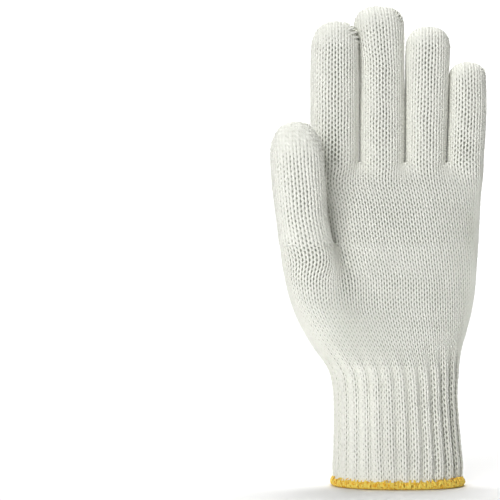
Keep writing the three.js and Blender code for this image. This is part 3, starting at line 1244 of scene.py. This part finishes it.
@dataclass
class Hem:
    """The yarn that is overcast round the cuff's edge, over a soft core.

    Args:
        name: The solid's name.
        pitch: The distance from one wrap to the next.
        layers: The number of layers of wraps.
        half_width: Half the yarn's width.
        uneven: How far the wraps' upper ends differ in height.
        seed: The seed of its irregularities.
    """

    STEPS = 12
    LEVELS = (0.3, 0.5, 0.7)  # the heights of the core's strands, as shares of the hem's
    CORE = 1.2  # how far inside the solid's surface the core lies
    ROUGH = 1.3  # how far below the solid's top the wraps end, whose upper ends are uneven

    name: str = "hem"
    pitch: float = 0.85
    layers: int = 3
    half_width: float = 0.29
    uneven: float = 1.25
    seed: int = 70

    def build(self, material: bpy.types.Material) -> None:
        """Winds the yarn.

        Args:
            material: Its finish.
        """
        solid = Solid(self.name)
        foot, top = solid.low[2], solid.high[2] - self.ROUGH
        rim = smooth_round(spaced(solid.outline(foot + 2.5)), 3)
        length = np.linalg.norm(np.roll(rim, -1, axis=0) - rim, axis=1).sum()
        after = np.roll(rim, -1, axis=0) - np.roll(rim, 1, axis=0)
        outwards = unit(np.stack([after[:, 1], -after[:, 0]], axis=-1))
        wraps = int(length / self.pitch)
        random = np.random.default_rng(self.seed)
        yarn = YarnMesh()
        half = (top - foot) / 2
        ring = np.ones((1, COLUMNS))
        flat = np.column_stack([outwards, np.zeros(COLUMNS)])
        for level in self.LEVELS:
            height = np.full(COLUMNS, foot + 2 * half * level)
            core = np.column_stack([rim - outwards * self.CORE, height])
            yarn.add(core[None], flat[None], ring * 1.1, ring * 1.3, ring > 0, closed=True)
        turn = np.tile(2 * math.pi * np.arange(self.STEPS) / self.STEPS, wraps)
        number = np.repeat(np.arange(wraps), self.STEPS)
        for layer in range(self.layers):
            bite = np.repeat(random.uniform(-1.6, 1, wraps) * self.uneven, self.STEPS)
            jump = np.repeat(random.normal(0, 0.5, wraps), self.STEPS)
            curl = np.repeat(random.normal(0, 0.4, wraps), self.STEPS) * np.sin(3 * turn)
            slant = 0.8 - 0.5 * layer
            share = (number + turn / (2 * math.pi) + layer / self.layers) / wraps
            share = share + (slant * np.cos(turn) + jump * np.sin(turn) + curl) / length
            level = foot + half - (half - 0.9 * self.half_width) * np.cos(turn)
            level = level + bite * np.clip(-np.cos(turn), 0, 1) ** 2
            column = np.mod(share, 1.0)
            middle, away = (on_line(column, SHARES, line, 1.0) for line in (rim, outwards))
            out = (1.5 + 0.12 * layer + 0.3 * curl) * np.sin(turn) - self.CORE
            points = np.column_stack([middle + away * out[:, None], level])[None]
            normal = np.column_stack([away * np.sin(turn)[:, None], -np.cos(turn)])[None]
            width = self.half_width * (1 + 0.15 * random.normal(0, 1, (1, len(turn))))
            yarn.add(points, normal, width, width, np.ones((1, len(turn)), dtype=bool), closed=True)
        seat(yarn.build("hem_overcast"), material, Slot.HEM, self.name)


@dataclass
class Glove:
    """The whole glove: five digits, the hand above and below the thumb's crotch, cuff and hem.

    Args:
        upper_wales: The wales round the hand above the thumb's crotch.
        lower_wales: The wales round the hand below it, and round the cuff.
        palm: How the hand is knitted.
        wrist: How the cuff is knitted.
        ribs: The cuff's ribs.
        lean: Heights and how far the hand's wales lean there.
    """

    HALF_GAP = 0.175  # half the gap between two solids
    SPREAD = 5  # how far the hand's sections are smoothed, in columns
    FALL = 4.2  # how far the palm falls away
    CREASE = (-31.0, 3.0, 16.0)  # the crease at the thumb's foot: its place, depth and height

    upper_wales: int = 72
    lower_wales: int = 84
    palm: Gauge = Gauge(course=2.33, half_width=0.245)
    wrist: Gauge = Gauge(course=2.57, half_width=0.32, stretch=0.0, height=0.74, backing=0.7)
    ribs: Ribs = Ribs(84)
    lean: tuple[tuple[float, float], ...] = ((62, 0.0), (85, 0.12), (119, 0.15), (148, 0.16), (159, 0.0))

    def surface(self, solids: list[Solid], heights: Array, top: float) -> Array:
        """The grid over some of the hand's solids, with the palm fallen away below a height."""
        return soften(survey(solids, heights, self.SPREAD), self.FALL, top)

    def skin(self, grid: Array, heights: Array) -> Skin:
        """The skin of an open tube, from its grid and the heights of its rows."""
        step = heights[1] - heights[0]
        return Skin(grid, step, np.full(COLUMNS, np.inf)).inset(self.palm.inset)

    def build(self, knit: bpy.types.Material, yellow: bpy.types.Material) -> None:
        """Knits the glove from the fingertips down.

        Args:
            knit: The finish of the knitting.
            yellow: The finish of the hem.
        """
        upper, lower, cuff = Solid("upper_hand"), Solid("lower_hand"), Solid("cuff")
        roots = upper.high[2] + self.HALF_GAP
        crotch = upper.low[2] - self.HALF_GAP
        wrist = lower.low[2] - self.HALF_GAP
        fingers = [
            Digit(
                "index_finger", wales=22, dome=13.4, roundness=2.15, seed=11, foot=roots,
                seam=TipSeam(56, -16, front=72, rise=1.5, pitch=2.0, half_width=0.7),
                pulls=(Pull(-32, 163, 6, 14, 0.20), Pull(-31, 196, 5, 9, 0.04)),
            ),
            Digit(
                "middle_finger", wales=22, dome=12.6, roundness=2.4, seed=21, foot=roots,
                seam=TipSeam(72, 14),
                pulls=(Pull(-6, 201, 5, 9, 0.07), Pull(-7, 174, 6, 8, 0.06)),
            ),
            Digit(
                "ring_finger", wales=20, dome=11.1, roundness=2.3, seed=31, foot=roots,
                seam=TipSeam(55, 0),
                pulls=(Pull(13.6, 208, 5, 8, 0.06),),
            ),
            Digit(
                "little_finger", wales=18, dome=9.4, roundness=2.3, seed=41, foot=roots,
                seam=TipSeam(30, -14, front=60, rise=0.6),
                pulls=(Pull(32, 163, 5, 11, 0.17),),
            ),
        ]
        thumb = Digit(
            "thumb", wales=22, dome=17.3, roundness=2.05, seed=51, foot=crotch,
            seam=TipSeam(65, 30),
            pulls=(Pull(-48, 138, 7, 12, 0.05), Pull(-50, 172, 16, 14, -0.12)),
            gauge=Gauge(half_width=0.285, stretch=0.10, patchy=0.03, backing=1.0),
        )
        heights = rows_between(crotch, roots)
        grid = self.surface([upper], heights, roots)
        foot = grid[0]
        skin = self.skin(grid, heights)
        top, endings = run_on(skin, [finger.lines for finger in fingers], self.upper_wales)
        hand = Wales(skin, self.upper_wales, top, lean=self.lean)
        for finger, ending in zip(fingers, endings):
            finger.build(knit, ending)

        heights = rows_between(cuff.low[2], crotch)
        grid = self.surface([cuff, lower], heights, roots)
        grid = meet(grid, [foot, thumb.lines.skin.points[0]], *self.CREASE)
        skin = self.skin(grid, heights)
        top, endings = run_on(skin, [hand, thumb.lines], self.lower_wales)
        heel = Wales(skin, self.lower_wales, top, lean=self.lean, settle=34.0)
        thumb.build(knit, endings[1])
        yarn = YarnMesh()
        pulls = (Pull(30, 122, 16, 34, 0.10), Pull(4, 125, 22, 26, 0.03), Pull(18, 92, 24, 20, 0.06))
        above = hand.skin.length
        palm = Knitting(
            hand, self.palm, 61, 0.0, above, roots=endings[0], tight=above - 4, pulls=pulls
        )
        palm.knit(yarn)
        seat(yarn.build("upper_hand_knit"), knit, Slot.KNIT, "upper_hand")
        wrist_up = wrist - heights[0]
        for name, gauge, seed, low, high in (
            ("lower_hand", self.palm, 62, wrist_up, skin.length),
            ("cuff", self.wrist, 63, 0.6, wrist_up),
        ):
            yarn = YarnMesh()
            Knitting(heel, gauge, seed, low, high, ribs=self.ribs, pulls=pulls).knit(yarn)
            seat(yarn.build(name + "_knit"), knit, Slot.KNIT, name)
        Hem().build(yellow)


# Studio


@dataclass(frozen=True)
class Studio:
    """The floor, the light and the camera.

    Args:
        middle_x: The place across the hand that the picture's middle shows.
        middle_z: The height that the picture's middle shows.
        distance: The camera's distance from the glove.
        picture: The width of the glove's plane that the picture shows.
        sensor: The camera's sensor.
    """

    middle_x: float = -73.0
    middle_z: float = 116.3
    distance: float = 1030.0
    picture: float = 247.5
    sensor: float = 36.0

    def floor(self) -> None:
        """Makes a pale floor that sweeps up behind the glove."""
        bpy.ops.object.select_all(action="DESELECT")
        bpy.ops.mesh.primitive_plane_add(size=6.0, location=(0.0, -0.5, -0.0002))
        floor = bpy.context.object
        floor.name = "studio_floor"
        bpy.ops.object.transform_apply(location=True, rotation=True, scale=True)
        bpy.ops.object.mode_set(mode="EDIT")
        bpy.ops.mesh.select_mode(type="EDGE")
        bpy.ops.mesh.select_all(action="DESELECT")
        bpy.ops.object.mode_set(mode="OBJECT")
        for edge in floor.data.edges:
            edge.select = all(floor.data.vertices[i].co.y > 2 for i in edge.vertices)
        bpy.ops.object.mode_set(mode="EDIT")
        bpy.ops.mesh.extrude_region_move(TRANSFORM_OT_translate={"value": (0.0, 0.0, 4.0)})
        bpy.ops.object.mode_set(mode="OBJECT")
        bend = floor.modifiers.new("bend", "BEVEL")
        bend.width, bend.segments, bend.limit_method = 1.5, 16, "ANGLE"
        bpy.ops.object.modifier_apply(modifier="bend")
        floor.data.polygons.foreach_set("use_smooth", [True] * len(floor.data.polygons))
        floor.data.materials.append(FloorFinish().make())

    def lamp(
        self, name: str, place: Vector, target: Vector, size: float, power: float, spread: float = 180.0
    ) -> None:
        """Hangs a soft lamp.

        Args:
            name: The lamp's name.
            place: Where it hangs, in metres.
            target: Where it points, in metres.
            size: Its width, in metres.
            power: Its power in watts.
            spread: The angle over which it shines, in degrees.
        """
        light = bpy.data.lights.new(name, "AREA")
        light.shape, light.size, light.energy = "SQUARE", size, power
        light.spread = math.radians(spread)
        lamp = bpy.data.objects.new(name, light)
        lamp.location = place
        lamp.rotation_mode = "QUATERNION"
        lamp.rotation_quaternion = (place - target).to_track_quat("Z", "Y")
        bpy.context.scene.collection.objects.link(lamp)

    def build(self) -> None:
        """Sets up the floor, the light and the camera."""
        self.floor()
        glove = Vector((0.0, 0.0, 0.12))
        self.lamp("key", Vector((-1.0, -2.1, 1.0)), glove, 1.3, 42.5)
        self.lamp("backdrop", Vector((0.0, 1.3, 2.0)), Vector((0.0, 2.2, 0.0)), 1.2, 14.8, 100.0)
        self.lamp("floor", Vector((0.0, 0.6, 2.0)), Vector((0.0, 0.25, 0.0)), 1.2, 5.8, 60.0)
        world = bpy.data.worlds.new("studio")
        world.use_nodes = True
        background = next(node for node in world.node_tree.nodes if node.type == "BACKGROUND")
        background.inputs["Color"].default_value = (1.0, 1.0, 1.0, 1.0)
        background.inputs["Strength"].default_value = 0.07
        bpy.context.scene.world = world
        bpy.context.scene.view_settings.view_transform = "Standard"
        camera = bpy.data.objects.new("camera", bpy.data.cameras.new("camera"))
        camera.data.sensor_width = self.sensor
        camera.data.lens = self.sensor * self.distance / self.picture
        camera.location = Vector((self.middle_x, -self.distance, self.middle_z)) * MM
        camera.rotation_euler = (math.pi / 2, 0.0, 0.0)
        camera.data.clip_start, camera.data.clip_end = 0.05, 50.0
        bpy.context.scene.collection.objects.link(camera)
        bpy.context.scene.camera = camera


def main() -> None:
    """Builds the glove and its studio."""
    logging.basicConfig(level=logging.INFO, format="%(name)s: %(message)s")
    # The inner colours are painted shade on the yarn's side that faces into the fabric; the plating yarn
    # shows them in the holes
    knit = YarnFinish(
        "string_knit", light=(0.88, 0.885, 0.82), dark=(0.80, 0.807, 0.725), inner=(0.50, 0.505, 0.43)
    )
    yellow = YarnFinish(
        "hem_yarn",
        light=(0.98, 0.77, 0.15),
        dark=(0.91, 0.49, 0.03),
        inner=(0.66, 0.29, 0.02),
        speckle=1.3,
    )
    Glove().build(knit.make(), yellow.make())
    Studio().build()


if __name__ == "__main__":
    main()
